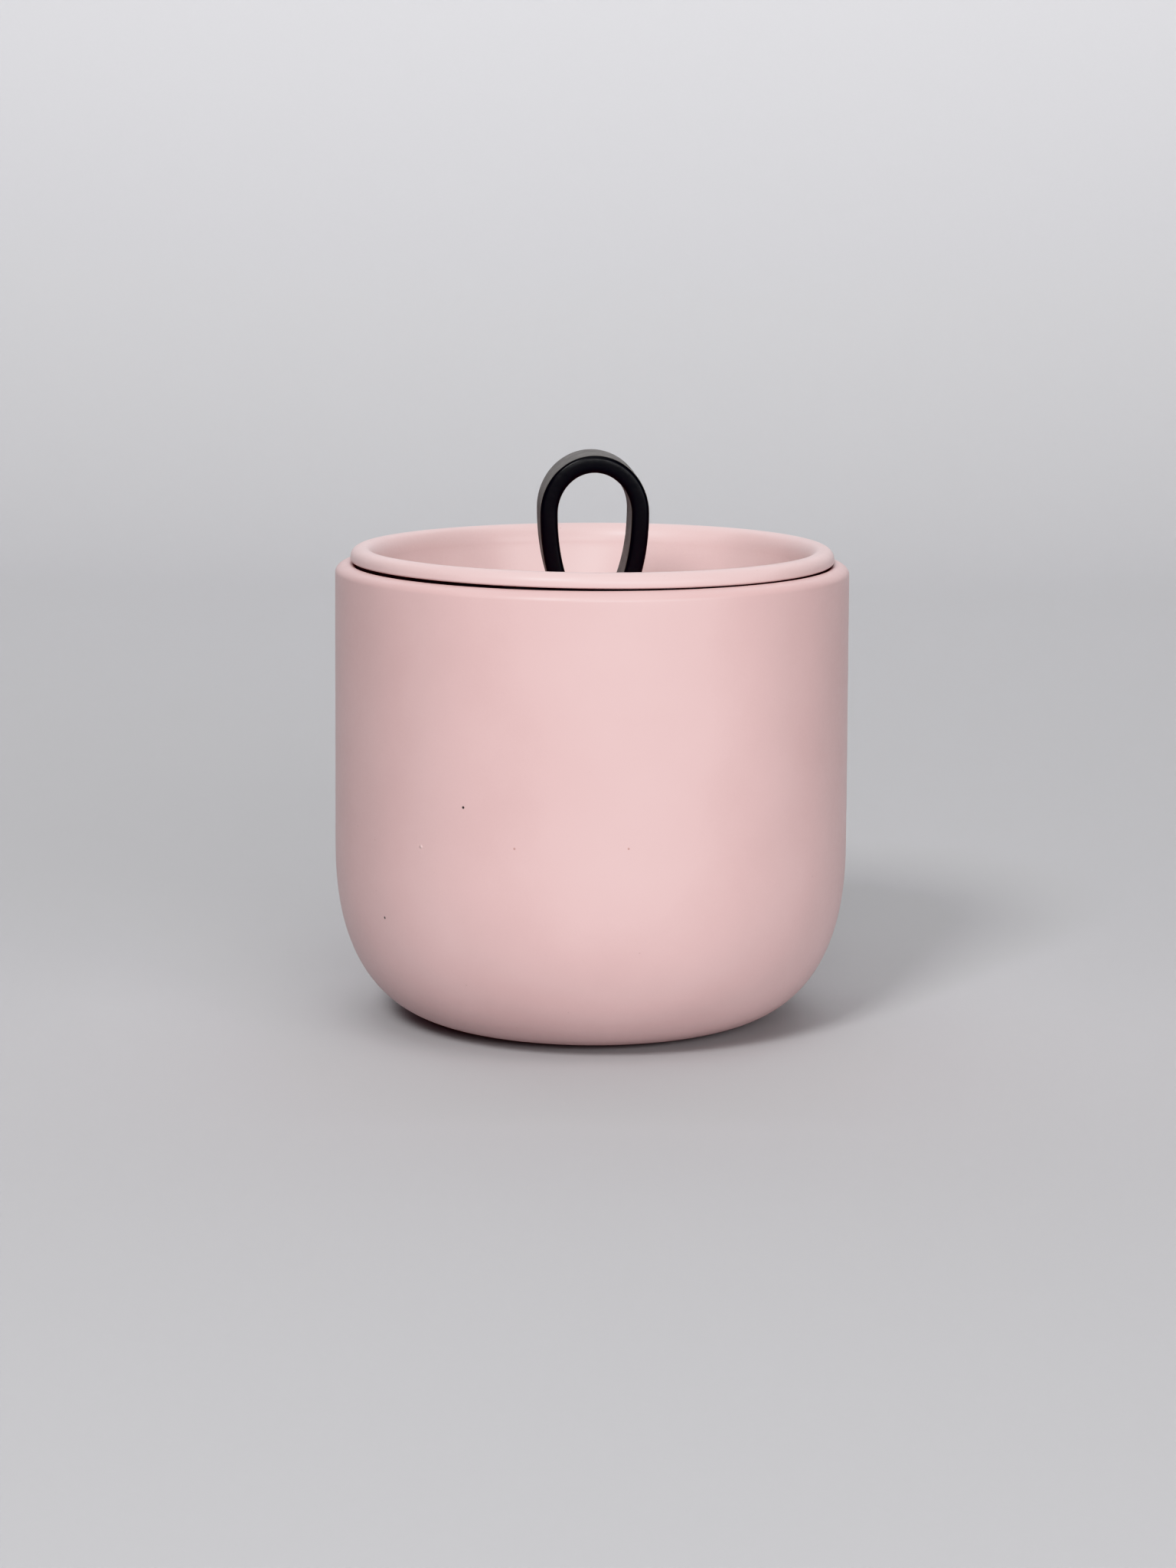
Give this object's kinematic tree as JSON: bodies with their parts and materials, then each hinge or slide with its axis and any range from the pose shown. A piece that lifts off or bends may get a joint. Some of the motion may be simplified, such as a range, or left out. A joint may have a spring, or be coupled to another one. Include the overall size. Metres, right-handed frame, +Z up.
{
  "type": "lidded candle jar",
  "caption": "Empty ceramic candle jar with a rounded base, a dish lid on a seal ring and a leather loop handle.",
  "frame": {"origin": "on the jar's axis, on the surface that the foot ring stands on", "axes": "+Z up along the jar's axis, through the lid's handle; -Y faces the front, where the open side of the handle loop shows; +X to the right"},
  "size_m": [0.1, 0.1, 0.1114],
  "materials": {
    "jar_glaze": "satin matte pink glaze",
    "lid_glaze": "satin matte pink glaze",
    "seal_silicone": "matte black silicone",
    "strap_leather": "satin black leather",
    "post_metal": "nickel-plated steel"
  },
  "bodies": {
    "jar": {"jar_body": "jar_glaze"},
    "seal": {"seal_ring": "seal_silicone"},
    "lid": {"lid_dish": "lid_glaze", "strap_end_left": "strap_leather", "strap_end_right": "strap_leather", "screw_post": "post_metal", "post_screw": "post_metal"},
    "handle": {"handle_loop": "strap_leather"}
  },
  "joints": [
    {"name": "lid_lift", "type": "slide", "parent": "jar", "child": "seal", "axis": [0, 0, 1], "range_m": [0, 0.05]},
    {"name": "lid_turn", "type": "hinge", "parent": "seal", "child": "lid", "pos_m": [0, 0, 0.0896], "axis": [0, 0, 1], "continuous": true},
    {"name": "handle_lean", "type": "hinge", "parent": "lid", "child": "handle", "pos_m": [0, 0, 0.0758], "axis": [-0.0576, 0.9983, 0], "range_deg": [-30, 30], "stiffness_Nm_per_rad": 0.02}
  ]
}
